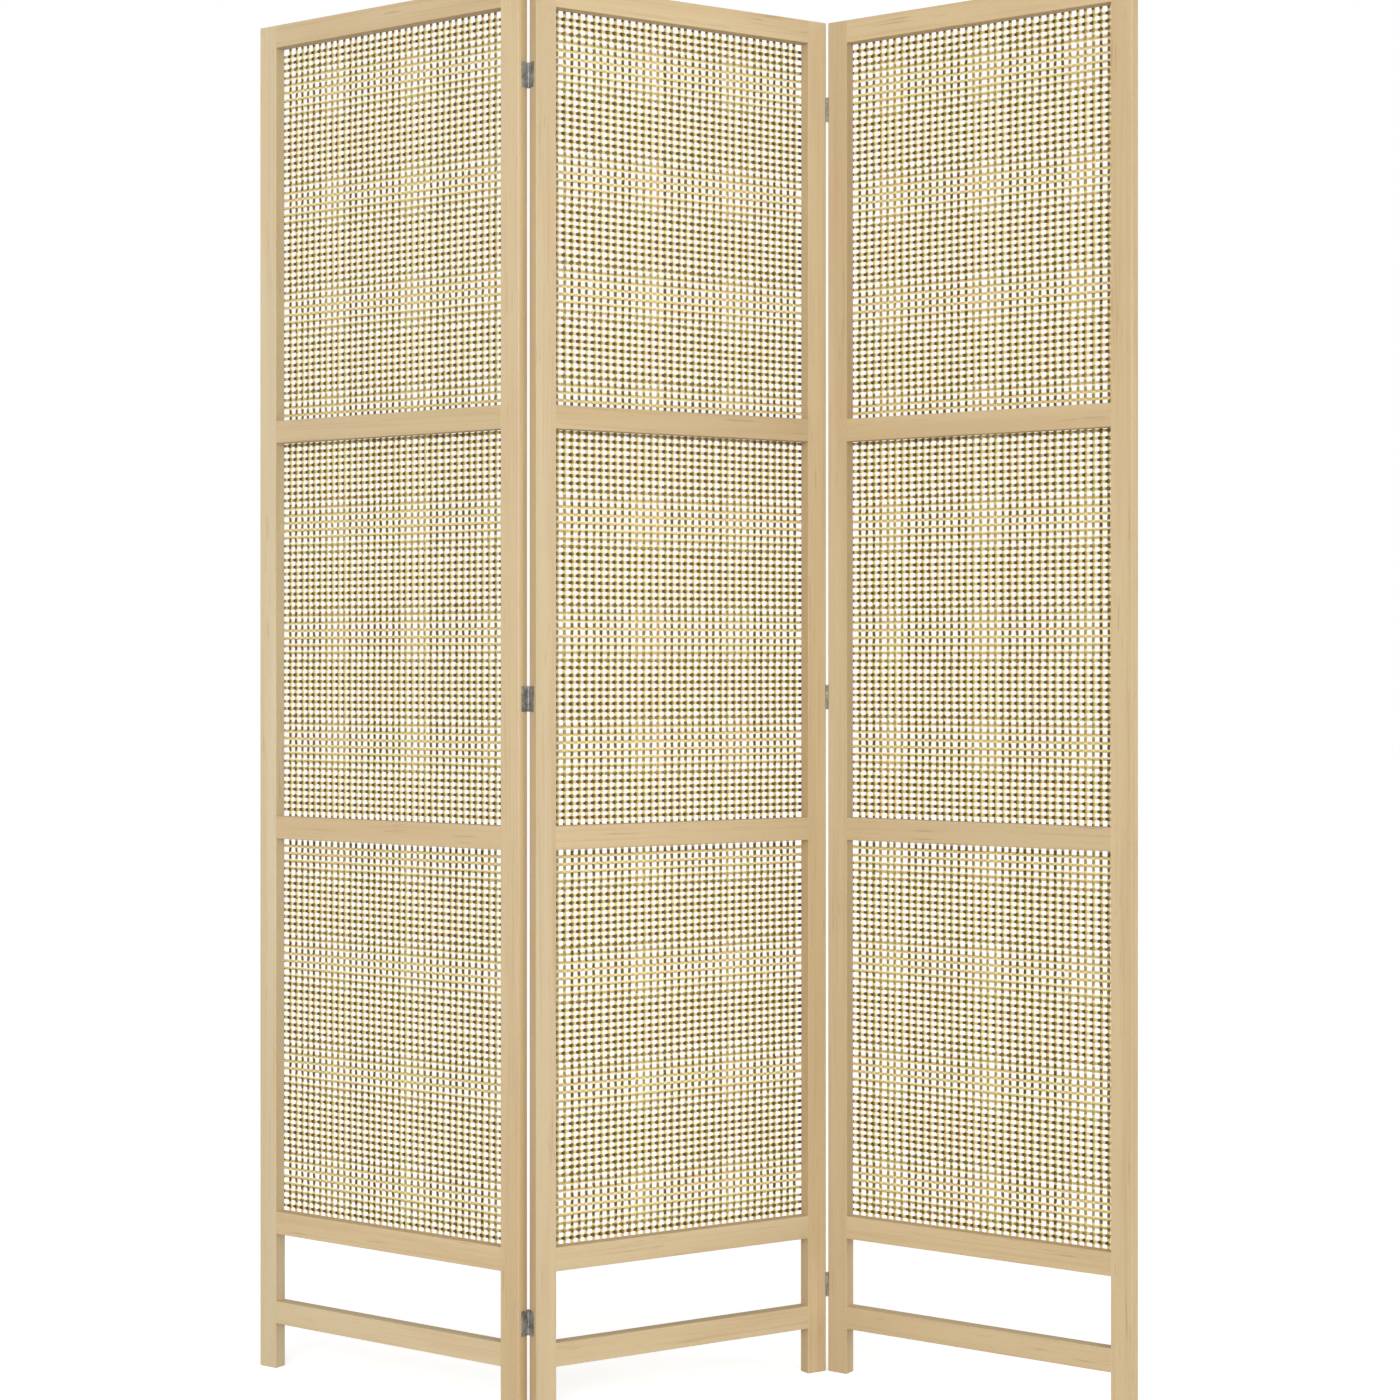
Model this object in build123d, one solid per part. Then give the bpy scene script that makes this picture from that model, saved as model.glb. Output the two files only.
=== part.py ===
from build123d import *
import os
from math import sin, cos, radians

# ---------------------------------------------------------------------------
# Folding screen of three identical framed panels, standing in a zig-zag.
# Frame of the model: X along the screen, -Y towards the viewer, Z up.
# Origin: middle of the footprint, on the floor. Millimetres.
# ---------------------------------------------------------------------------

# --- one panel -------------------------------------------------------------
PANEL_W = 441.0        # outside width of a panel
PANEL_H = 1800.0       # height from the floor
PANEL_T = 18.0         # thickness of stiles and rails
STILE_W = 29.0         # visible width of a stile
RAIL_H = 30.0          # visible height of every rail
OPEN_H = 500.0         # height of each woven opening
LEG_GAP = 90.0         # open gap between bottom rail and leg stretcher
FOOT_H = 60.0          # leg below the stretcher
EDGE_R = 1.2           # rounding of the outer edges
INNER_R = 0.9          # rounding of the edges round an opening
FOOT_CH = 1.0          # chamfer round the foot

# --- seat of the woven field on the back of the frame ----------------------
SHELF_W = 2.0          # shelf beside the opening
SHELF_D = 1.6          # depth of the shelf below the back face
GROOVE_W = 4.0         # width of the groove behind the shelf
GROOVE_D = 6.0         # depth of the groove from the back face
FOLD_T = 1.0           # thickness of the turned-down edge in the groove
SPLINE_CLEAR = 0.2     # spline stops above the groove's floor
SPLINE_R = 1.1         # rounding of the spline's outer edges

# --- dowels in the frame joints --------------------------------------------
DOWEL_R = 3.0
DOWEL_IN = 15.0        # depth in the stile and in the rail
DOWEL_DZ = 7.5         # distance of each dowel from the rail's centre line
DOWEL_V = 7.0          # distance of the dowels from the front face

# --- hinges ----------------------------------------------------------------
HINGE_H = 32.0         # height of a hinge
HINGE_Z = (116.0, 900.0, 1684.0)   # heights of the hinge centres
EDGE_GAP = 0.75        # pin axis to the edge face of a stile
PIN_PROUD = 1.0        # pin axis beyond the face of the frame
KNUCKLE_R = 1.6
PIN_R = 0.8
PIN_RUN = 0.05         # running clearance in the turning knuckle
PIN_END = 0.5          # pin beyond the end knuckles
KNUCKLE_GAP = 0.4      # between two knuckles
LEAF_T = 0.6
LEAF_W = 12.5          # leaf on the edge face, from the frame's face inwards
LEAF_R = 1.6           # rounding of the leaf's free corners
SCREW_R = 1.05         # shank of the hinge screws
SCREW_HEAD_R = 2.1
SCREW_HEAD_H = 1.2     # height of the countersunk head
SCREW_LEN = 12.0
SCREW_IN = 6.9         # screw axis from the face of the frame
SCREW_DZ = 9.5         # screw axes from the hinge's centre

# --- standing pose ---------------------------------------------------------
HALF_FOLD = 33.1       # each panel stands this far off the screen's line

os.makedirs("parts", exist_ok=True)

LO = (Align.MIN, Align.MIN, Align.MIN)


def block(u0, v0, z0, u1, v1, z1):
    return Pos(u0, v0, z0) * Box(u1 - u0, v1 - v0, z1 - z0, align=LO)


# heights of the rails, from the floor up
stretcher_z = FOOT_H
bottom_z = stretcher_z + RAIL_H + LEG_GAP
lower_open = (bottom_z + RAIL_H, bottom_z + RAIL_H + OPEN_H)
lower_mid_z = lower_open[1]
middle_open = (lower_mid_z + RAIL_H, lower_mid_z + RAIL_H + OPEN_H)
upper_mid_z = middle_open[1]
upper_open = (upper_mid_z + RAIL_H, upper_mid_z + RAIL_H + OPEN_H)
top_z = upper_open[1]
assert abs(top_z + RAIL_H - PANEL_H) < 1e-6

U0, U1 = STILE_W, PANEL_W - STILE_W          # inner faces of the stiles
OPENINGS = {"upper": upper_open, "middle": middle_open, "lower": lower_open}
RAILS = {
    "top_rail": top_z,
    "upper_middle_rail": upper_mid_z,
    "lower_middle_rail": lower_mid_z,
    "bottom_rail": bottom_z,
    "leg_stretcher": stretcher_z,
}


# --- cutters ---------------------------------------------------------------
def seat_cut(z0, z1):
    """Shelf and groove round one opening, cut from the back face."""
    shelf = block(U0 - SHELF_W, PANEL_T - SHELF_D, z0 - SHELF_W,
                  U1 + SHELF_W, PANEL_T + 1, z1 + SHELF_W)
    far = SHELF_W + GROOVE_W
    ring = block(U0 - far, PANEL_T - GROOVE_D, z0 - far,
                 U1 + far, PANEL_T + 1, z1 + far)
    ring -= block(U0 - SHELF_W, PANEL_T - GROOVE_D - 1, z0 - SHELF_W,
                  U1 + SHELF_W, PANEL_T + 2, z1 + SHELF_W)
    return shelf + ring


def edge_round(u, v, su, sv, z0, z1, r):
    """Sliver that rounds a vertical edge at u, v; su, sv point into the wood."""
    a = block(min(u, u + su * r), min(v, v + sv * r), z0,
              max(u, u + su * r), max(v, v + sv * r), z1)
    c = Pos(u + su * r, v + sv * r, (z0 + z1) / 2) * Cylinder(r, z1 - z0 + 2)
    return a - c


def dowel(u, z):
    """Dowel along the rail, centred on the joint face at u."""
    d = Cylinder(DOWEL_R, 2 * DOWEL_IN)
    d = chamfer(d.edges().filter_by(GeomType.CIRCLE), 0.6)
    return Pos(u, DOWEL_V, z) * Rot(0, 90, 0) * d


def dowel_hole(u, z):
    return Pos(u, DOWEL_V, z) * Rot(0, 90, 0) * Cylinder(DOWEL_R, 2 * DOWEL_IN)


def dowel_spots():
    for z in RAILS.values():
        for dz in (-DOWEL_DZ, DOWEL_DZ):
            for u in (U0, U1):
                yield u, z + RAIL_H / 2 + dz


# --- hinge pieces, about the pin axis --------------------------------------
# The wood stands at x > EDGE_GAP, the frame's face is at y = -PIN_PROUD.
KN = (HINGE_H - 2 * KNUCKLE_GAP) / 3.0       # length of one knuckle


def hinge_screw():
    x0 = EDGE_GAP - LEAF_T
    head = Pos(x0 + SCREW_HEAD_H / 2, 0, 0) * Rot(0, 90, 0) * \
        Cone(SCREW_HEAD_R, SCREW_R, SCREW_HEAD_H)
    x1 = x0 + SCREW_HEAD_H
    body = SCREW_LEN - SCREW_HEAD_H - 2.5
    shank = Pos(x1 + body / 2, 0, 0) * Rot(0, 90, 0) * \
        Cylinder(SCREW_R, body)
    tip = Pos(x1 + body + 1.25, 0, 0) * Rot(0, 90, 0) * \
        Cone(SCREW_R, 0.15, 2.5)
    return head + shank + tip


def screw_slots():
    x0 = EDGE_GAP - LEAF_T
    a = block(x0 - 1, -0.28, -1.35, x0 + 0.65, 0.28, 1.35)
    b = block(x0 - 1, -1.35, -0.28, x0 + 0.65, 1.35, 0.28)
    return a + b


def screw_places():
    return [Pos(0, -PIN_PROUD - SCREW_IN, dz) for dz in (-SCREW_DZ, SCREW_DZ)]


def leaf(outer):
    """outer: the leaf with the two end knuckles, else the middle knuckle."""
    x0 = EDGE_GAP - LEAF_T
    back = -PIN_PROUD - LEAF_W
    sheet = block(x0, back, -HINGE_H / 2, EDGE_GAP, -(KNUCKLE_R + 0.45),
                  HINGE_H / 2)
    corners = sheet.edges().filter_by(Axis.X).group_by(Axis.Y)[0]
    sheet = fillet(corners, LEAF_R)
    h = HINGE_H / 2
    spans = [(-h, -h + KN), (h - KN, h)] if outer else [(-KN / 2, KN / 2)]
    bore = PIN_R if outer else PIN_R + PIN_RUN
    for a, b in spans:
        sheet += block(x0, -(KNUCKLE_R + 0.6), a, EDGE_GAP, 0, b)
        sheet += Pos(0, 0, (a + b) / 2) * Cylinder(KNUCKLE_R, b - a)
    sheet -= Cylinder(bore, HINGE_H + 4)
    for p in screw_places():
        sheet -= p * hinge_screw()
    return sheet


def pin():
    p = Cylinder(PIN_R, HINGE_H + 2 * PIN_END)
    return chamfer(p.edges().filter_by(GeomType.CIRCLE), 0.3)


# placement of a hinge half on a panel, in the panel's own frame
def seat(side, face, zc):
    u = -EDGE_GAP if side == "left" else PANEL_W + EDGE_GAP
    v = PANEL_T + PIN_PROUD if face == "back" else -PIN_PROUD
    turn = {("left", "back"): Rot(0, 0, 0), ("right", "back"): Rot(0, 180, 0),
            ("right", "front"): Rot(0, 0, 180),
            ("left", "front"): Rot(180, 0, 0)}[(side, face)]
    return Pos(u, v, zc) * turn


def screw_seats(side, face):
    return [seat(side, face, zc) * p for zc in HINGE_Z for p in screw_places()]


# --- frame pieces, in the panel's own frame --------------------------------
# u from the left edge, v from the front face to the back face, z from the floor
def stile(side, hinge_face):
    left = side == "left"
    a, b = (0.0, STILE_W) if left else (PANEL_W - STILE_W, PANEL_W)
    s = block(a, 0, 0, b, PANEL_T, PANEL_H)
    outer_x = a if left else b
    # outer vertical edges and the three free edges of the top, one radius
    edges = [e for e in s.edges().filter_by(Axis.Z)
             if abs(e.center().X - outer_x) < 0.01]
    edges += [e for e in s.edges() if abs(e.center().Z - PANEL_H) < 0.01
              and not (abs(e.center().X - (b if left else a)) < 0.01)]
    s = fillet(edges, EDGE_R)
    foot = [e for e in s.edges() if abs(e.center().Z) < 0.01]
    s = chamfer(foot, FOOT_CH)
    # inner edges: rounded only where an opening lies beside them
    inner, into = (b, -1) if left else (a, 1)
    for z0, z1 in OPENINGS.values():
        s -= edge_round(inner, 0, into, 1, z0, z1, INNER_R)
    for z0, z1 in ((stretcher_z + RAIL_H, bottom_z), (FOOT_CH, stretcher_z)):
        s -= edge_round(inner, 0, into, 1, z0, z1, INNER_R)
        s -= edge_round(inner, PANEL_T, into, -1, z0, z1, INNER_R)
    for z0, z1 in OPENINGS.values():
        s -= seat_cut(z0, z1)
    joint_u = U0 if left else U1
    for u, z in dowel_spots():
        if u == joint_u:
            s -= dowel_hole(u, z)
    if hinge_face:
        for p in screw_seats(side, hinge_face):
            s -= p * hinge_screw()
    return s


def rail(name):
    z0 = RAILS[name]
    r = block(U0, 0, z0, U1, PANEL_T, z0 + RAIL_H)
    long_edges = r.edges().filter_by(Axis.X)
    low = [e for e in long_edges if abs(e.center().Z - z0) < 0.01]
    high = [e for e in long_edges if abs(e.center().Z - z0 - RAIL_H) < 0.01]
    front = [e for e in long_edges if abs(e.center().Y) < 0.01]
    if name == "top_rail":
        r = fillet(high, EDGE_R)
        r = fillet([e for e in r.edges().filter_by(Axis.X)
                    if abs(e.center().Z - z0) < 0.01
                    and abs(e.center().Y) < 0.01], INNER_R)
    elif name == "leg_stretcher":
        r = fillet(low + high, INNER_R)
    elif name == "bottom_rail":
        r = fillet(low + [e for e in front if e not in low], INNER_R)
    else:
        r = fillet(front, INNER_R)
    for a, b in OPENINGS.values():
        if abs(a - (z0 + RAIL_H)) < 0.01 or abs(b - z0) < 0.01:
            r -= seat_cut(a, b)
    for u, z in dowel_spots():
        if z0 < z < z0 + RAIL_H:
            r -= dowel_hole(u, z)
    return r


def webbing(z0, z1):
    """Woven sheet as a plain plate with its edge turned down in the groove."""
    o = SHELF_W + FOLD_T
    w = block(U0 - o, PANEL_T - SHELF_D, z0 - o, U1 + o, PANEL_T, z1 + o)
    low = PANEL_T - GROOVE_D + SPLINE_CLEAR
    ring = block(U0 - o, low, z0 - o, U1 + o, PANEL_T, z1 + o)
    ring -= block(U0 - SHELF_W, low - 1, z0 - SHELF_W,
                  U1 + SHELF_W, PANEL_T + 1, z1 + SHELF_W)
    return w + ring


def spline(z0, z1):
    """Four reed strips that wedge the sheet in its groove."""
    i, o = SHELF_W + FOLD_T, SHELF_W + GROOVE_W
    low = PANEL_T - GROOVE_D + SPLINE_CLEAR
    strips = []
    for u0, u1 in ((U0 - o, U0 - i), (U1 + i, U1 + o)):
        b = block(u0, low, z0 - o, u1, PANEL_T, z1 + o)
        e = [k for k in b.edges().filter_by(Axis.Z)
             if abs(k.center().Y - PANEL_T) < 0.01]
        strips.append(fillet(e, SPLINE_R))
    for a0, a1 in ((z0 - o, z0 - i), (z1 + i, z1 + o)):
        b = block(U0 - i, low, a0, U1 + i, PANEL_T, a1)
        e = [k for k in b.edges().filter_by(Axis.X)
             if abs(k.center().Y - PANEL_T) < 0.01]
        strips.append(fillet(e, SPLINE_R))
    return strips


# --- where the three panels stand ------------------------------------------
def turned(x, y, deg):
    c, s = cos(radians(deg)), sin(radians(deg))
    return x * c - y * s, x * s + y * c


RIDGE = turned(-PANEL_W / 2 - EDGE_GAP, PANEL_T / 2 + PIN_PROUD, HALF_FOLD)
VALLEY = (-RIDGE[0], -RIDGE[1])

PLACES = {
    "middle": Rot(0, 0, HALF_FOLD) * Pos(-PANEL_W / 2, -PANEL_T / 2, 0),
    "left": Pos(RIDGE[0], RIDGE[1], 0) * Rot(0, 0, -HALF_FOLD)
    * Pos(-PANEL_W - EDGE_GAP, -PANEL_T - PIN_PROUD, 0),
    "right": Pos(VALLEY[0], VALLEY[1], 0) * Rot(0, 0, -HALF_FOLD)
    * Pos(EDGE_GAP, PIN_PROUD, 0),
}
# hinge faces of each panel's left and right stile
HINGED = {"left": (None, "back"), "middle": ("back", "front"),
          "right": ("front", None)}


def save(name, solids):
    if not isinstance(solids, list):
        solids = [solids]
    out = []
    for s in solids:
        out += list(s.solids())
    shape = out[0] if len(out) == 1 else Compound(out)
    shape.label = name
    export_step(shape, "parts/" + name + ".step")


rails = {n: rail(n) for n in RAILS}
sheets = {n: webbing(*z) for n, z in OPENINGS.items()}
splines = {n: spline(*z) for n, z in OPENINGS.items()}
dowels = [dowel(u, z) for u, z in dowel_spots()]

for panel, place in PLACES.items():
    faces = HINGED[panel]
    head = panel + "_panel_"
    save(head + "left_stile", place * stile("left", faces[0]))
    save(head + "right_stile", place * stile("right", faces[1]))
    for n, s in rails.items():
        save(head + n, place * s)
    for n, s in sheets.items():
        save(head + n + "_webbing", place * s)
    for n, s in splines.items():
        save(head + n + "_spline", [place * k for k in s])
    save(head + "dowels", [place * k for k in dowels])

outer_leaf, inner_leaf, one_pin = leaf(True), leaf(False), pin()
one_screw = hinge_screw() - screw_slots()

for hinge, (pa, pb, face) in {"ridge": ("left", "middle", "back"),
                              "valley": ("middle", "right", "front")}.items():
    A, B = PLACES[pa], PLACES[pb]
    save(hinge + "_hinge_left_leaves",
         [A * seat("right", face, z) * outer_leaf for z in HINGE_Z])
    save(hinge + "_hinge_right_leaves",
         [B * seat("left", face, z) * inner_leaf for z in HINGE_Z])
    save(hinge + "_hinge_pins",
         [A * seat("right", face, z) * one_pin for z in HINGE_Z])
    save(hinge + "_hinge_left_screws",
         [A * p * one_screw for p in screw_seats("right", face)])
    save(hinge + "_hinge_right_screws",
         [B * p * one_screw for p in screw_seats("left", face)])

print("ridge axis", RIDGE, "valley axis", VALLEY)
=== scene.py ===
import bpy, math
import numpy as np
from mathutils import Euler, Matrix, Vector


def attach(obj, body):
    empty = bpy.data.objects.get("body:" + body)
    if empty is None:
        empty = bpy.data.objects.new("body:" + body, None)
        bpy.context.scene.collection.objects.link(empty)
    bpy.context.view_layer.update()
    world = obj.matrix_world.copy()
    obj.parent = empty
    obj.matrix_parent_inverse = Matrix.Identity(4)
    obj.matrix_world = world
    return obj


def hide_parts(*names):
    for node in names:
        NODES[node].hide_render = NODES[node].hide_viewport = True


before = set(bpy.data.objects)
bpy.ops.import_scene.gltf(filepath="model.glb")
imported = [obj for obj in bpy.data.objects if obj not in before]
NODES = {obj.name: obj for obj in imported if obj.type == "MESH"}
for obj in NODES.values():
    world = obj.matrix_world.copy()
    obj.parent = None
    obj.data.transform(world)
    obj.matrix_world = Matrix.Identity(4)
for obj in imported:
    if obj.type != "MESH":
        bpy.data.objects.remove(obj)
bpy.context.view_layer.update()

# ---------------------------------------------------------------------------
# Measures of the screen, in metres, as in the frame
# ---------------------------------------------------------------------------
W, T, H = 0.441, 0.018, 1.800
STILE, RAIL, OPEN = 0.029, 0.030, 0.500
GAP, PROUD = 0.00075, 0.0010
SHELF = 0.0016
ALPHA = math.radians(33.1)
OPENINGS = {"lower": 0.210, "middle": 0.740, "upper": 1.270}
PANELS = ("left", "middle", "right")


def turn(x, y, a):
    return x * math.cos(a) - y * math.sin(a), x * math.sin(a) + y * math.cos(a)


RIDGE = turn(-W / 2 - GAP, T / 2 + PROUD, ALPHA)
VALLEY = (-RIDGE[0], -RIDGE[1])
ANGLE = {"left": -ALPHA, "middle": ALPHA, "right": -ALPHA}


def to_row(panel, p):
    """Points of a panel (u from its left edge, v from its front face, z up) in the row frame."""
    p = np.asarray(p, float)
    if panel == "middle":
        du, dv, ox, oy = -W / 2, -T / 2, 0.0, 0.0
    elif panel == "left":
        du, dv, (ox, oy) = -W - GAP, -T - PROUD, RIDGE
    else:
        du, dv, (ox, oy) = GAP, PROUD, VALLEY
    a = ANGLE[panel]
    u, v = p[:, 0] + du, p[:, 1] + dv
    return np.stack([u * math.cos(a) - v * math.sin(a) + ox,
                     u * math.sin(a) + v * math.cos(a) + oy, p[:, 2]], 1)


# ---------------------------------------------------------------------------
# Shader building
# ---------------------------------------------------------------------------
class Tree:
    """A few short calls for a material's node tree."""

    def __init__(self, name):
        self.mat = bpy.data.materials.new(name)
        self.mat.use_nodes = True
        self.t = self.mat.node_tree
        self.t.nodes.clear()
        self.out = self.t.nodes.new("ShaderNodeOutputMaterial")
        self.bsdf = self.t.nodes.new("ShaderNodeBsdfPrincipled")
        self.link(self.bsdf.outputs[0], self.out.inputs[0])

    def link(self, a, b):
        self.t.links.new(a, b)

    def put(self, socket, value):
        if hasattr(value, "is_output") or isinstance(value, bpy.types.NodeSocket):
            self.link(value, socket)
        else:
            socket.default_value = value

    def coords(self):
        n = self.t.nodes.new("ShaderNodeTexCoord")
        return n.outputs["Object"]

    def mapping(self, vec, loc=(0, 0, 0), rot=(0, 0, 0), scale=(1, 1, 1)):
        n = self.t.nodes.new("ShaderNodeMapping")
        n.inputs["Location"].default_value = loc
        n.inputs["Rotation"].default_value = rot
        n.inputs["Scale"].default_value = scale
        self.link(vec, n.inputs["Vector"])
        return n.outputs[0]

    def noise(self, vec, scale=1.0, detail=2.0, rough=0.5, distort=0.0):
        n = self.t.nodes.new("ShaderNodeTexNoise")
        n.inputs["Scale"].default_value = scale
        n.inputs["Detail"].default_value = detail
        n.inputs["Roughness"].default_value = rough
        n.inputs["Distortion"].default_value = distort
        self.link(vec, n.inputs["Vector"])
        return n.outputs["Fac"]

    def math(self, op, a, b=0.0, c=0.0, clamp=False):
        n = self.t.nodes.new("ShaderNodeMath")
        n.operation = op
        n.use_clamp = clamp
        for s, v in zip(n.inputs, (a, b, c)):
            self.put(s, v)
        return n.outputs[0]

    def remap(self, x, a, b, c=0.0, d=1.0, smooth=True):
        n = self.t.nodes.new("ShaderNodeMapRange")
        n.interpolation_type = "SMOOTHSTEP" if smooth else "LINEAR"
        for k, v in (("Value", x), ("From Min", a), ("From Max", b),
                     ("To Min", c), ("To Max", d)):
            self.put(n.inputs[k], v)
        return n.outputs["Result"]

    def mix(self, fac, a, b, mode="MIX"):
        n = self.t.nodes.new("ShaderNodeMix")
        n.data_type = "RGBA"
        n.blend_type = mode
        n.clamp_factor = True
        for i, v in ((0, fac), (6, a), (7, b)):
            self.put(n.inputs[i], v)
        return n.outputs[2]

    def attr(self, name):
        n = self.t.nodes.new("ShaderNodeAttribute")
        n.attribute_type = "GEOMETRY"
        n.attribute_name = name
        s = self.t.nodes.new("ShaderNodeSeparateXYZ")
        self.link(n.outputs["Vector"], s.inputs[0])
        return s.outputs

    def bump(self, height, strength, distance):
        n = self.t.nodes.new("ShaderNodeBump")
        n.inputs["Strength"].default_value = strength
        n.inputs["Distance"].default_value = distance
        self.link(height, n.inputs["Height"])
        self.link(n.outputs[0], self.bsdf.inputs["Normal"])


def rgb(r, g, b):
    """sRGB 0..255 to a linear colour."""
    def f(c):
        c = c / 255.0
        return c / 12.92 if c <= 0.04045 else ((c + 0.055) / 1.055) ** 2.4
    return (f(r), f(g), f(b), 1.0)


def scaled(c, k):
    return (c[0] * k, c[1] * k, c[2] * k, 1.0)


def wood(name, angle, along, seed, tone=1.0, warm=0.0):
    """Pale straight-grained wood, grain along 'z' or along the rail 'u' of a panel."""
    rng = np.random.default_rng(seed)
    m = Tree(name)
    off = tuple(rng.uniform(-7, 7, 3))
    v = m.mapping(m.coords(), rot=(0, 0, -angle))
    v = m.mapping(v, loc=off)
    # slight wander of the grain
    wob = m.noise(m.mapping(v, scale=(2.0, 2.0, 2.0)), 1.0, 1.0)
    if along == "z":
        def s(across, run): return (across, across, run)
    else:
        def s(across, run): return (run, across, across)
    add = m.t.nodes.new("ShaderNodeVectorMath")
    add.operation = "ADD"
    comb = m.t.nodes.new("ShaderNodeCombineXYZ")
    w = m.math("MULTIPLY", m.math("SUBTRACT", wob, 0.5), 0.010)
    for i in range(3):
        if (along == "z" and i < 2) or (along == "u" and i > 0):
            m.link(w, comb.inputs[i])
    m.link(v, add.inputs[0])
    m.link(comb.outputs[0], add.inputs[1])
    g = add.outputs[0]
    broad = m.noise(m.mapping(g, scale=s(22, 1.1)), 1.0, 2.0, 0.5)
    patch = m.noise(m.mapping(g, scale=s(60, 4.5)), 1.0, 2.0, 0.5)
    lines = m.noise(m.mapping(g, scale=s(230, 2.4)), 1.0, 3.0, 0.62)
    streak = m.noise(m.mapping(g, scale=s(330, 14.0)), 1.0, 2.0, 0.5)
    gate = m.noise(m.mapping(g, scale=s(45, 9.0)), 1.0, 1.0, 0.5)
    pores = m.noise(m.mapping(g, scale=s(1500, 55.0)), 1.0, 2.0, 0.6)
    base = rgb(204 + warm, 178, 136 - warm)
    light = rgb(212 + warm, 189, 149 - warm)
    pink = rgb(203, 172, 134)
    deep = rgb(176, 144, 100)
    c = m.mix(m.remap(broad, 0.32, 0.68), scaled(base, tone), scaled(light, tone))
    c = m.mix(m.remap(patch, 0.50, 0.74, 0.0, 0.42), c, scaled(pink, tone))
    c = m.mix(m.remap(lines, 0.50, 0.76, 0.0, 0.34), c, scaled(deep, tone))
    st = m.math("MULTIPLY", m.remap(streak, 0.60, 0.70), m.remap(gate, 0.52, 0.62))
    c = m.mix(m.math("MULTIPLY", st, 0.36), c, scaled(rgb(158, 128, 88), tone))
    c = m.mix(m.remap(pores, 0.62, 0.74, 0.0, 0.26), c, scaled(rgb(150, 120, 82), tone))
    m.link(c, m.bsdf.inputs["Base Color"])
    m.link(m.remap(lines, 0.3, 0.7, 0.50, 0.62), m.bsdf.inputs["Roughness"])
    m.bsdf.inputs["IOR"].default_value = 1.42
    h = m.math("ADD", m.math("MULTIPLY", lines, 0.6), m.math("MULTIPLY", m.remap(pores, 0.6, 0.75), -0.6))
    m.bump(h, 0.25, 0.0004)
    return m.mat


def steel(name, colour, rough, seed):
    rng = np.random.default_rng(seed)
    m = Tree(name)
    v = m.mapping(m.coords(), loc=tuple(rng.uniform(-3, 3, 3)))
    cloud = m.noise(m.mapping(v, scale=(90, 90, 90)), 1.0, 4.0, 0.6)
    fine = m.noise(m.mapping(v, scale=(900, 900, 90)), 1.0, 3.0, 0.6)
    spots = m.noise(m.mapping(v, scale=(420, 420, 420)), 1.0, 3.0, 0.7)
    c = m.mix(m.remap(cloud, 0.38, 0.64), scaled(colour, 0.62), scaled(colour, 1.30))
    c = m.mix(m.remap(spots, 0.60, 0.72, 0.0, 0.40), c, scaled(rgb(104, 94, 78), 1.0))
    worn = m.noise(m.mapping(v, scale=(520, 520, 260)), 1.0, 3.0, 0.7)
    c = m.mix(m.remap(worn, 0.52, 0.66, 0.0, 0.75), c, scaled(colour, 1.75))
    m.link(c, m.bsdf.inputs["Base Color"])
    m.bsdf.inputs["Metallic"].default_value = 0.60
    m.link(m.remap(m.math("ADD", m.math("MULTIPLY", cloud, 0.5), m.math("MULTIPLY", fine, 0.5)),
                   0.3, 0.7, rough - 0.09, rough + 0.10), m.bsdf.inputs["Roughness"])
    m.bump(fine, 0.12, 0.0003)
    return m.mat


BAND, BAND_Z = 144.5, 44.6          # mm: height of one repeat of the weave, and where one is centred
STRAW = (0.985, 0.955, 0.865, 1.0)     # overall tint of the strands
SPOT = BAND / 16                    # mm: step of the painted shade spots on the uprights, sixteen to the fifteen rows of a repeat


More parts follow.
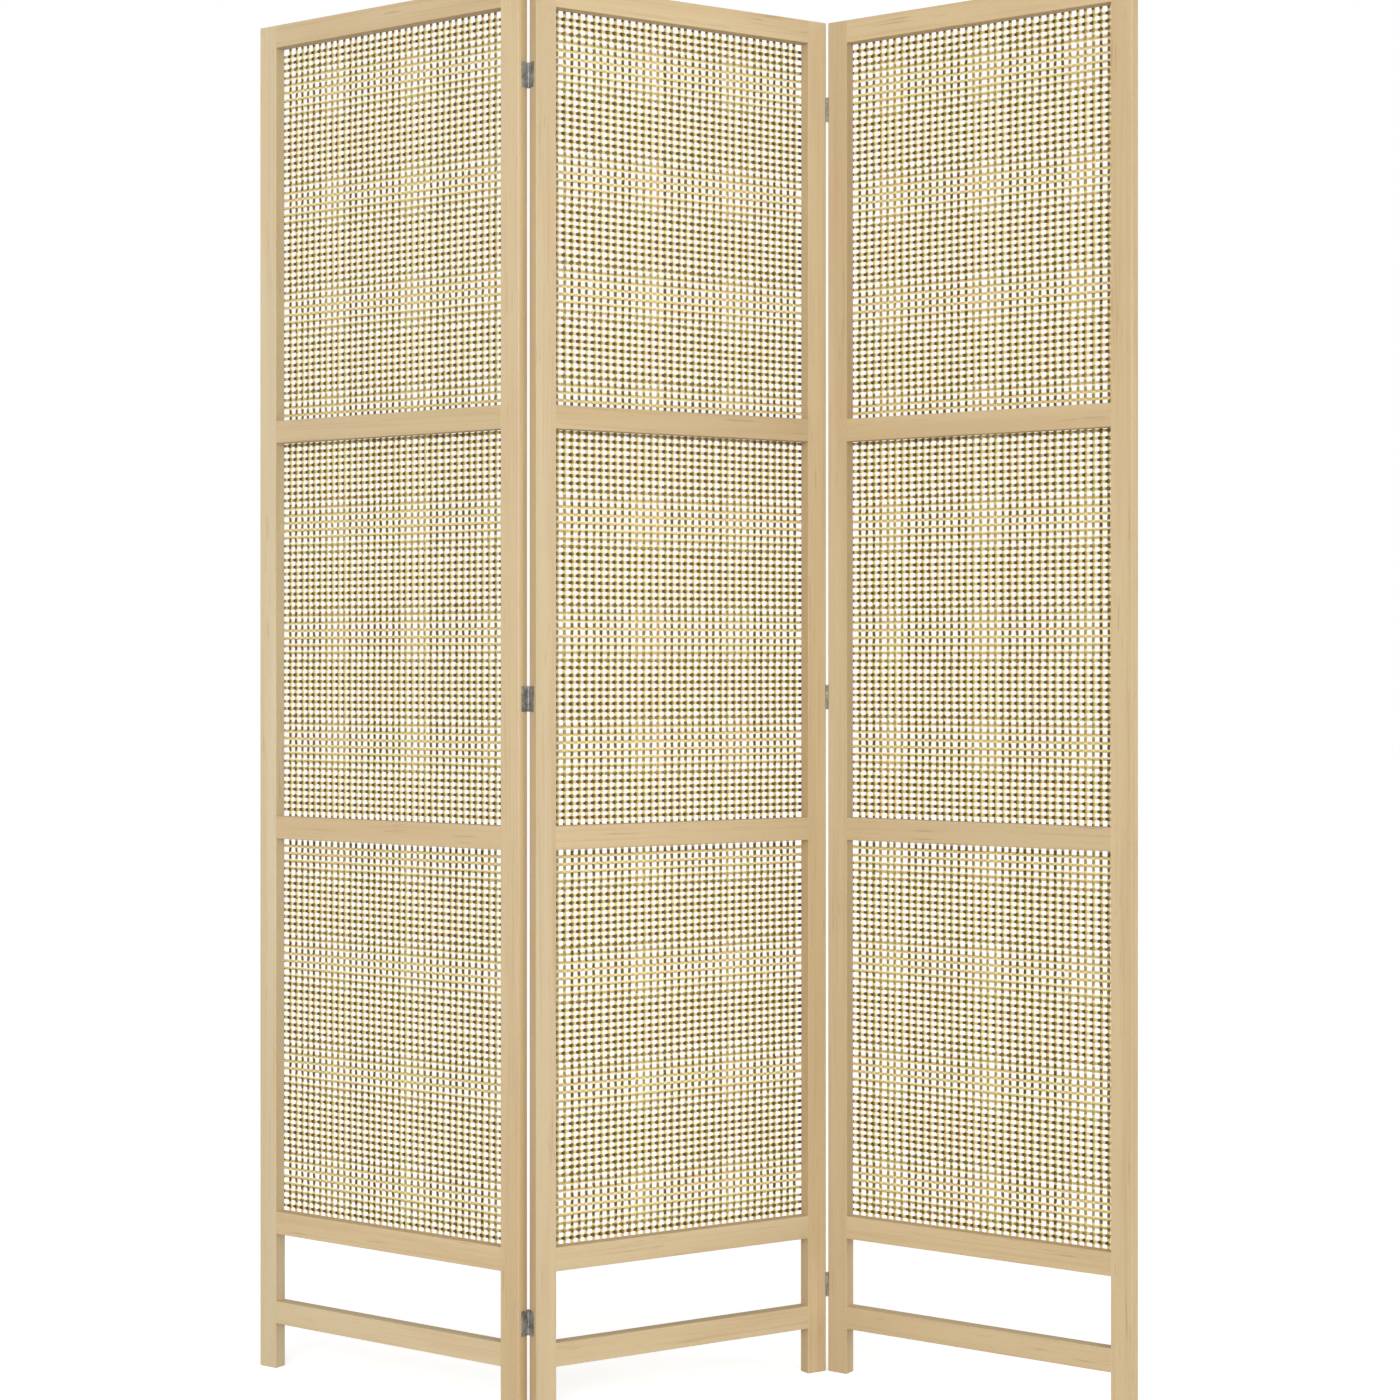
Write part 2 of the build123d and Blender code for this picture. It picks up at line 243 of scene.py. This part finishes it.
def rattan(name, seed):
    """Natural strands, with painted shade (dark spots and dashes) and painted highlights on the crossings. 'cell'
    holds (column, row, 0 flat / 1 upright), 'shade' holds (chance per strand, side, strength of the painted shade).
    """
    m = Tree(name)
    col, row, upright = m.attr("cell")
    chance, side, strong = m.attr("shade")
    place = m.coords()
    v = m.mapping(place, loc=(seed * 1.7, 0, 0))
    fine = m.noise(m.mapping(v, scale=(420, 420, 420)), 1.0, 3.0, 0.6)
    fibre = m.noise(m.mapping(v, scale=(1100, 1100, 260)), 1.0, 2.0, 0.6)
    blot = m.noise(m.mapping(v, scale=(190, 190, 190)), 1.0, 2.0, 0.5)
    slow = m.noise(m.mapping(v, scale=(16, 16, 16)), 1.0, 2.0, 0.5)
    ragged = m.math("MULTIPLY", m.math("SUBTRACT", blot, 0.5), 0.22)
    sep = m.t.nodes.new("ShaderNodeSeparateXYZ")
    m.link(place, sep.inputs[0])
    # place in the cell, -0.5 to 0.5 with 0 on a crossing; place in the repeat, -72 to 72 mm
    x = m.math("SUBTRACT", m.math("FRACT", m.math("ADD", col, 0.5)), 0.5)
    z = m.math("ABSOLUTE", m.math("SUBTRACT", m.math("FRACT", m.math("ADD", row, 0.5)), 0.5))
    ax = m.math("ABSOLUTE", x)
    mm = m.math("SUBTRACT", m.math("MULTIPLY", sep.outputs[2], 1000.0), BAND_Z)
    dz = m.math("WRAP", mm, BAND / 2, -BAND / 2)
    adz = m.math("ABSOLUTE", dz)
    # painted shade along the uprights, dark spots standing for shadow: mid-way between two rows where |dz| is large,
    # on the rows where it is small
    zb = m.math("ABSOLUTE", m.math("SUBTRACT", m.math("FRACT", m.math("ADD", m.math("DIVIDE", mm, SPOT), 0.5)), 0.5))
    tall = m.math("ADD", m.remap(adz, 25, 50, 0.25, 0.32), ragged)
    upright_shade = m.math("MULTIPLY", m.remap(m.math("SUBTRACT", zb, tall), -0.06, 0.06, 1.0, 0.0),
                  m.remap(m.math("SUBTRACT", ax, ragged), 0.15, 0.25, 1.0, 0.0))
    upright_shade = m.math("MULTIPLY", upright_shade, m.math("MULTIPLY", strong, m.remap(adz, 15, 40, 0.80, 1.0)))
    # painted shade dashes along the rows, from the middle of a cell up to the next upright
    reach = m.math("ADD", x, ragged)
    thick = m.remap(x, -0.45, -0.10, 0.16, 0.27)
    row_shade = m.math("MULTIPLY", m.remap(reach, -0.49, -0.38), m.remap(x, -0.03, 0.08, 1.0, 0.0))
    row_shade = m.math("MULTIPLY", row_shade, m.remap(m.math("SUBTRACT", z, thick), -0.03, 0.05, 1.0, 0.0))
    when = m.math("MULTIPLY", m.remap(dz, -54, -31), m.remap(dz, 28, 54, 1.0, 0.0))
    row_shade = m.math("MULTIPLY", row_shade, when)
    rim = m.math("ABSOLUTE", side)
    # painted shade from spots and dashes, a little weaker at the very edges of a strand
    dark = m.math("MULTIPLY", m.math("MAXIMUM", upright_shade, row_shade), m.remap(rim, 0.85, 1.0, 1.0, 0.70))
    # tone of the strands: a painted highlight on the crossings; the flat ones painted browner as shade between
    # crossings, except a painted lighter right half of a cell where the painted shade dashes sit on the rows
    warm = m.remap(m.math("ADD", slow, m.math("MULTIPLY", m.math("SUBTRACT", chance, 0.5), 0.22)), 0.30, 0.72)
    upright_c = m.mix(warm, rgb(224, 206, 142), rgb(229, 202, 144))
    flat_c = m.mix(warm, rgb(208, 189, 122), rgb(213, 185, 126))
    # painted lighter half of the flat strands, beside the painted shade dashes
    lit_half = m.math("MULTIPLY", m.remap(x, 0.0, 0.12), m.remap(adz, 28, 44, 1.0, 0.0))
    flat_c = m.mix(lit_half, flat_c, m.mix(warm, rgb(226, 208, 144), rgb(231, 204, 147)))
    cream = m.mix(upright, flat_c, upright_c)
    # painted highlight on each crossing
    crossing_highlight = m.math("MULTIPLY", m.remap(ax, 0.12, 0.32, 1.0, 0.0), m.remap(z, 0.12, 0.32, 1.0, 0.0))
    cream = m.mix(m.math("MULTIPLY", crossing_highlight, 0.85), cream, m.mix(warm, rgb(238, 222, 160), rgb(241, 218, 164)))
    cream = m.mix(m.remap(fibre, 0.45, 0.75, 0.0, 0.34), cream, rgb(190, 162, 98))
    cream = m.mix(m.remap(fine, 0.60, 0.78, 0.0, 0.26), cream, rgb(164, 134, 72))
    cream = m.mix(m.remap(fine, 0.40, 0.22, 0.0, 0.30), cream, rgb(242, 226, 176))
    # colour of the painted shade: the dark spots and dashes stand in for shadow between the strands
    deep = m.mix(m.remap(fine, 0.3, 0.7), rgb(60, 44, 12), rgb(92, 72, 28))
    # the skin at a strand's edges is paler than its back
    cream = m.mix(m.remap(rim, 0.45, 0.95, 0.0, 0.82), cream, rgb(255, 249, 218))
    c = m.mix(m.math("MULTIPLY", dark, 0.97), cream, deep)
    c = m.mix(1.0, c, STRAW, "MULTIPLY")
    m.link(c, m.bsdf.inputs["Base Color"])
    m.link(m.remap(fibre, 0.3, 0.7, 0.45, 0.62), m.bsdf.inputs["Roughness"])
    m.bsdf.inputs["IOR"].default_value = 1.42
    m.bsdf.inputs["Specular IOR Level"].default_value = 0.35
    m.bump(fibre, 0.22, 0.0002)
    return m.mat


# ---------------------------------------------------------------------------
# Woven fields
# ---------------------------------------------------------------------------
NX = 36                             # cells across one opening
ROW = 0.009633                      # mean step from row to row, fifteen to a repeat
SWU, SWF, ST = 0.0046, 0.0043, 0.00080      # widths of upright and flat strands, and their thickness
AMP = 0.00039                       # how far a strand swings to either side
RING = 8                            # points round a strand
SEAM = {"left": 0.1438, "middle": 0.0608, "right": 0.1103}      # where a run of uprights with lighter painted shade ends


def strand_mesh(centres, wide, thick, widths, thicks, out, faces, base):
    """Appends one strand of oval section that follows centres."""
    n = len(centres)
    th = np.arange(RING) / RING * 2 * math.pi + math.pi / RING
    cx = np.sign(np.cos(th)) * np.abs(np.cos(th)) ** 0.8
    cy = np.sign(np.sin(th)) * np.abs(np.sin(th)) ** 0.8
    pts = (centres[:, None, :]
           + (widths[:, None] / 2 * cx[None, :])[:, :, None] * wide[:, None, :]
           + (thicks[:, None] / 2 * cy[None, :])[:, :, None] * thick[:, None, :])
    out.append(pts.reshape(-1, 3))
    i = np.arange(n - 1)[:, None] * RING
    k = np.arange(RING)[None, :]
    k2 = (k + 1) % RING
    q = np.stack([base + i + k, base + i + k2, base + i + RING + k2, base + i + RING + k], -1)
    faces.append(q.reshape(-1, 4))
    caps = [base + np.arange(RING)[::-1], base + (n - 1) * RING + np.arange(RING)]
    return base + n * RING, cx, cy, caps


def weave(panel, name):
    z0 = OPENINGS[name]
    seed = 100 + PANELS.index(panel) * 10 + list(OPENINGS).index(name)
    rng = np.random.default_rng(seed)
    u0, u1, z1 = STILE, W - STILE, z0 + OPEN
    px, pz = (u1 - u0) / NX, ROW
    mid = T - SHELF / 2
    us = u0 + px * np.arange(1, NX) + rng.normal(0, 0.00026, NX - 1)
    # rows lie a little closer in the middle of each repeat
    k = np.arange(-10, 200)
    rows_z = BAND_Z / 1000 + ROW * k - 0.0016 * np.sin(2 * math.pi * k / 15)
    zs = rows_z[(rows_z > z0 + 0.0024) & (rows_z < z1 - 0.0024)]
    zs = zs + np.clip(rng.normal(0, 0.00020, len(zs)), -0.0004, 0.0004)
    # four of each thirteen uprights carry lighter painted shade between the crossings
    place = np.floor((us - SEAM[panel]) / px + 0.5).astype(int) % 13
    shade_weight = np.where(place >= 9, 0.56 + 0.26 * rng.random(NX - 1), 0.86 + 0.14 * rng.random(NX - 1))
    out, faces, caps_all = [], [], []
    cell_a, shade_a = [], []
    base = 0

    def lay(kind, idx, own, crosses, lo, hi, pitch, own_pitch):
        nonlocal base
        # (place along, depth) of each ring
        ks = np.arange(1, len(crosses) + 1)
        sign = np.where((ks + idx) % 2 == 0, 1.0, -1.0) * (1 if kind else -1)
        rows = [(lo - 0.00262, mid - 0.0029), (lo - 0.00256, mid - 0.0012),
                (lo - 0.0019, mid - 0.0001), (lo + 0.0001, mid)]
        for k, s, c in zip(ks, sign, crosses):
            q = 0.22 * pitch
            rows += [(c - q, mid - s * AMP), (c, mid - s * AMP * 1.06), (c + q, mid - s * AMP)]
            if k < len(crosses):
                rows.append(((c + crosses[k]) / 2, mid))
        rows += [(hi - 0.0001, mid), (hi + 0.0019, mid - 0.0001),
                 (hi + 0.00256, mid - 0.0012), (hi + 0.00262, mid - 0.0029)]
        rows = np.array(rows)
        n = len(rows)
        s, d = rows.T
        ph, ph2 = rng.uniform(0, 6.28, 2)
        drift = 0.00022 * np.sin(s * 17 + ph) + 0.00014 * np.sin(s * 53 + ph2)
        w = (SWU if kind else SWF) * (1 + rng.normal(0, 0.04)) * (1 + 0.05 * np.sin(s * 61 + ph))
        t = np.full(n, ST)
        centre = np.zeros((n, 3))
        tangent = np.stack([np.gradient(s), np.gradient(d)], 1)
        tangent /= np.linalg.norm(tangent, axis=1, keepdims=True)
        wide, thick = np.zeros((n, 3)), np.zeros((n, 3))
        if kind:            # upright
            centre[:, 0], centre[:, 1], centre[:, 2] = own + drift, d, s
            wide[:, 0] = 1
            thick[:, 1], thick[:, 2] = -tangent[:, 0], tangent[:, 1]
        else:
            centre[:, 0], centre[:, 1], centre[:, 2] = s, d, own + drift
            wide[:, 2] = 1
            thick[:, 1], thick[:, 0] = -tangent[:, 0], tangent[:, 1]
        f0 = len(faces)
        base, cx, cy, caps = strand_mesh(centre, wide, thick, w, t, out, faces, base)
        if not kind:        # keeps the normals outwards
            faces[f0] = faces[f0][:, ::-1]
            caps = [c[::-1] for c in caps]
        caps_all.extend(caps)
        # place in columns and rows of every point, and the painted shade strength of the nearest column
        across = idx + 1 + (w[:, None] / 2 * cx[None, :] + drift[:, None]) / own_pitch
        run = np.repeat(step_at(s, crosses)[:, None], RING, 1)
        c, r = (across, run) if kind else (run, across)
        near = np.clip(np.floor(c + 0.5).astype(int) - 1, 0, NX - 2)
        cell_a.append(np.stack([c.ravel(), r.ravel(), np.full(n * RING, float(kind))], 1))
        shade_a.append(np.stack([np.full(n * RING, rng.uniform()), np.tile(cx, n), shade_weight[near].ravel()], 1))

    def step_at(s, crosses):
        e = np.concatenate([[2 * crosses[0] - crosses[1]], crosses, [2 * crosses[-1] - crosses[-2]]])
        return np.interp(s, e, np.arange(len(e)))

    for i, u in enumerate(us):
        lay(1, i, u, zs, z0, z1, pz, px)
    for j, z in enumerate(zs):
        lay(0, j, z, us, u0, u1, px, pz)

    co = to_row(panel, np.concatenate(out))
    quads = np.concatenate(faces)
    caps = np.array(caps_all)
    me = bpy.data.meshes.new(f"{panel}_panel_{name}_weave")
    loops = np.concatenate([quads.reshape(-1), caps.reshape(-1)])
    starts = np.concatenate([np.arange(len(quads)) * 4, len(quads) * 4 + np.arange(len(caps)) * RING])
    me.vertices.add(len(co))
    me.vertices.foreach_set("co", co.astype(np.float32).reshape(-1))
    me.loops.add(len(loops))
    me.loops.foreach_set("vertex_index", loops.astype(np.int32))
    me.polygons.add(len(starts))
    me.polygons.foreach_set("loop_start", starts.astype(np.int32))
    smooth = np.ones(len(starts), bool)
    smooth[len(quads):] = False
    me.update(calc_edges=True)
    me.polygons.foreach_set("use_smooth", smooth)
    for key, data in (("cell", cell_a), ("shade", shade_a)):
        a = me.attributes.new(key, "FLOAT_VECTOR", "POINT")
        a.data.foreach_set("vector", np.concatenate(data).astype(np.float32).reshape(-1))
    me.validate()
    ob = bpy.data.objects.new(f"{panel}_panel_{name}_weave", me)
    bpy.context.scene.collection.objects.link(ob)
    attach(ob, "panel_" + panel)
    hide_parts(f"{panel}_panel_{name}_webbing")
    return ob


rattan_mats = {p: rattan("rattan_" + p, i) for i, p in enumerate(PANELS)}
for p in PANELS:
    for n in OPENINGS:
        ob = weave(p, n)
        ob.data.materials.append(rattan_mats[p])

# ---------------------------------------------------------------------------
# Wood, reed and metal on the carried-over pieces
# ---------------------------------------------------------------------------


def dress(node, mat):
    o = NODES[node]
    if not o.material_slots:
        o.data.materials.append(mat)
    for s in o.material_slots:
        s.material = mat


UP = ("left_stile", "right_stile")
ALONG = ("top_rail", "upper_middle_rail", "lower_middle_rail", "bottom_rail", "leg_stretcher")
# every length of timber has its own tone and warmth
TONE = {"left": 0.95, "middle": 0.92, "right": 0.93}
PIECE = {("left", "left_stile"): (1.18, -8), ("left", "leg_stretcher"): (1.14, -4),
         ("left", "lower_middle_rail"): (1.09, 0), ("left", "bottom_rail"): (1.04, 0), ("middle", "left_stile"): (0.98, -2),
         ("middle", "right_stile"): (0.99, 2),
         ("right", "left_stile"): (1.0, -1), ("right", "right_stile"): (0.99, 1),
         ("right", "lower_middle_rail"): (0.95, 0), ("right", "bottom_rail"): (1.03, 0),
         ("middle", "upper_middle_rail"): (0.92, 0)}
for k, p in enumerate(PANELS):
    for i, n in enumerate(UP + ALONG):
        rng = np.random.default_rng(500 + 20 * k + i)
        dress(f"{p}_panel_{n}", wood(f"wood_{p}_{n}", ANGLE[p], "z" if n in UP else "u", 900 + 20 * k + i,
                                     TONE[p] * PIECE.get((p, n), (1, 0))[0] * (1 + rng.uniform(-0.012, 0.012)),
                                     PIECE.get((p, n), (1, 0))[1] + rng.uniform(-1.5, 1.5)))
    for i, n in enumerate(OPENINGS):
        dress(f"{p}_panel_{n}_spline", wood(f"reed_{p}_{n}", ANGLE[p], "z", 1300 + 10 * k + i, 0.90, 2))
    dress(f"{p}_panel_dowels", wood(f"dowel_{p}", ANGLE[p], "u", 1400 + k, 0.97, 0))

leaf_steel = steel("hinge_steel", rgb(158, 156, 150), 0.46, 1)
pin_steel = steel("pin_steel", rgb(190, 188, 184), 0.34, 2)
screw_steel = steel("screw_steel", rgb(168, 166, 160), 0.36, 3)
for h in ("ridge", "valley"):
    for s in ("left", "right"):
        dress(f"{h}_hinge_{s}_leaves", leaf_steel)
        dress(f"{h}_hinge_{s}_screws", screw_steel)
    dress(f"{h}_hinge_pins", pin_steel)

# ---------------------------------------------------------------------------
# Floor, light and camera
# ---------------------------------------------------------------------------
floor_mesh = bpy.data.meshes.new("floor")
R = 30.0
floor_mesh.from_pydata([(-R, -R, 0), (R, -R, 0), (R, R, 0), (-R, R, 0)], [], [(0, 1, 2, 3)])
floor = bpy.data.objects.new("floor", floor_mesh)
bpy.context.scene.collection.objects.link(floor)
fm = Tree("floor_white")
fm.bsdf.inputs["Base Color"].default_value = (0.80, 0.80, 0.80, 1)
fm.bsdf.inputs["Roughness"].default_value = 0.9
fm.bsdf.inputs["Specular IOR Level"].default_value = 0.1
fm.bsdf.inputs["Emission Color"].default_value = (1, 1, 1, 1)
# seen directly the floor is as white as the backdrop, but it throws no extra light
seen = fm.t.nodes.new("ShaderNodeLightPath")
fm.link(fm.math("MULTIPLY", seen.outputs["Is Camera Ray"], 0.58), fm.bsdf.inputs["Emission Strength"])
floor.data.materials.append(fm.mat)

world = bpy.data.worlds.new("studio")
bpy.context.scene.world = world
world.use_nodes = True
wt = world.node_tree
wt.nodes.clear()
wo = wt.nodes.new("ShaderNodeOutputWorld")
bg1 = wt.nodes.new("ShaderNodeBackground")
bg2 = wt.nodes.new("ShaderNodeBackground")
mixw = wt.nodes.new("ShaderNodeMixShader")
lp = wt.nodes.new("ShaderNodeLightPath")
# softbox all round, brighter from the front; plain white behind
tc = wt.nodes.new("ShaderNodeTexCoord")
sx = wt.nodes.new("ShaderNodeSeparateXYZ")
mr = wt.nodes.new("ShaderNodeMapRange")
mr.interpolation_type = "SMOOTHSTEP"
wt.links.new(tc.outputs["Generated"], sx.inputs[0])
wt.links.new(sx.outputs[1], mr.inputs["Value"])
for k, x in (("From Min", 0.35), ("From Max", -0.75), ("To Min", 0.40), ("To Max", 0.78)):
    mr.inputs[k].default_value = x
wt.links.new(mr.outputs["Result"], bg1.inputs[1])
bg1.inputs[0].default_value = (1, 1, 1, 1)
bg2.inputs[0].default_value = (1, 1, 1, 1)
bg2.inputs[1].default_value = 1.0
wt.links.new(lp.outputs["Is Camera Ray"], mixw.inputs[0])
wt.links.new(bg1.outputs[0], mixw.inputs[1])
wt.links.new(bg2.outputs[0], mixw.inputs[2])
wt.links.new(mixw.outputs[0], wo.inputs[0])


def area(name, loc, target, size, power, colour=(1, 1, 1)):
    d = bpy.data.lights.new(name, "AREA")
    d.shape = "RECTANGLE"
    d.size, d.size_y = size
    d.energy = power
    d.color = colour
    o = bpy.data.objects.new(name, d)
    o.location = loc
    o.rotation_euler = (Vector(target) - Vector(loc)).to_track_quat("-Z", "Y").to_euler()
    bpy.context.scene.collection.objects.link(o)
    return o


area("key", (-1.3, -5.6, 2.4), (0, 0, 0.9), (3.4, 3.0), 150, (1.0, 0.99, 0.97))
area("fill", (2.6, -5.0, 1.8), (0, 0, 0.9), (3.0, 3.0), 20, (0.98, 0.99, 1.0))
area("side", (4.3, -1.5, 1.5), (0.2, 0, 0.9), (2.0, 2.4), 56)

cam_data = bpy.data.cameras.new("camera")
cam = bpy.data.objects.new("camera", cam_data)
bpy.context.scene.collection.objects.link(cam)
YAW = math.radians(2.262)
cam.location = (0.08308, -3.4996, 0.941)
cam.rotation_euler = Euler((math.radians(90), 0, YAW), "XYZ")
cam_data.sensor_fit = "HORIZONTAL"
cam_data.sensor_width = 36.0
cam_data.lens = 2699.7 * 36.0 / 1400.0
cam_data.shift_x = (700 - 639.7) / 1400.0
cam_data.shift_y = -(700 - 666.3) / 1400.0
cam_data.clip_end = 200
bpy.context.scene.camera = cam
bpy.context.scene.view_settings.view_transform = "Standard"
bpy.context.scene.view_settings.look = "None"
